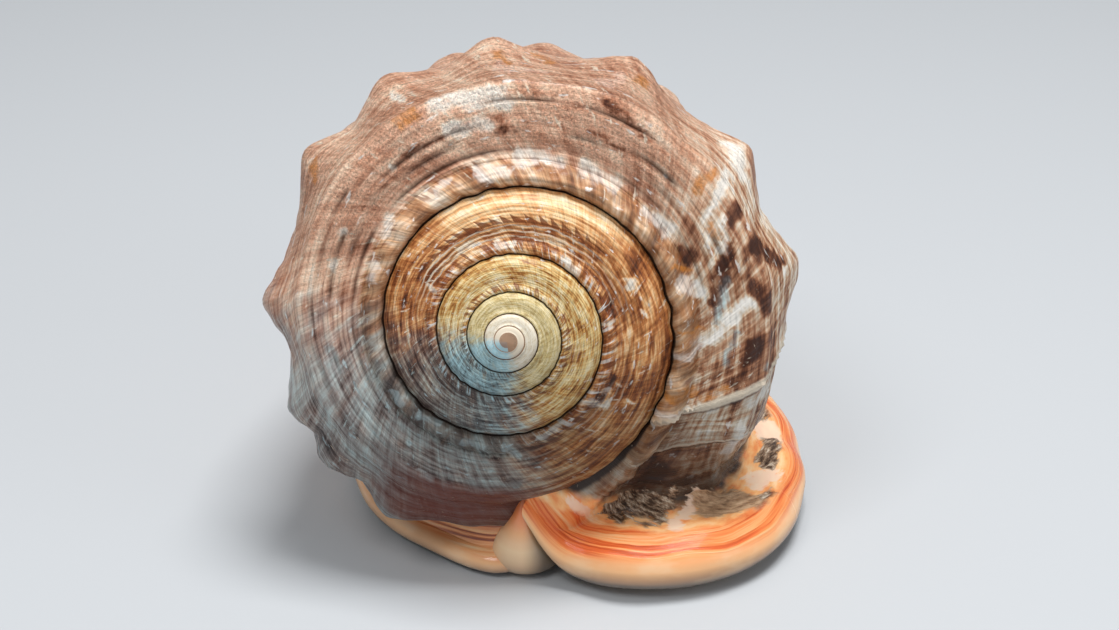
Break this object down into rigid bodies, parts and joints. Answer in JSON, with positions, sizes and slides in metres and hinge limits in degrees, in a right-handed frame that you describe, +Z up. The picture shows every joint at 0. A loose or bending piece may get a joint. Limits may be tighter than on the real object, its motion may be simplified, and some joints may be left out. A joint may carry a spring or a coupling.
{
  "type": "bullmouth helmet shell",
  "caption": "Heavy domed sea shell lying on its flat mouth side, with a low spire, a thick turned-out lip, an inner shield and a turned-up front canal.",
  "frame": {"origin": "centre of the shell's outline on the surface that it lies on", "axes": "+Z up, away from the mouth's underside; -Y towards the spire end, +Y towards the front canal; +X towards the outer lip"},
  "size_m": [0.1236, 0.1488, 0.1179],
  "materials": {
    "shell": "satin"
  },
  "bodies": {
    "root": {"shell": "shell"}
  },
  "joints": []
}
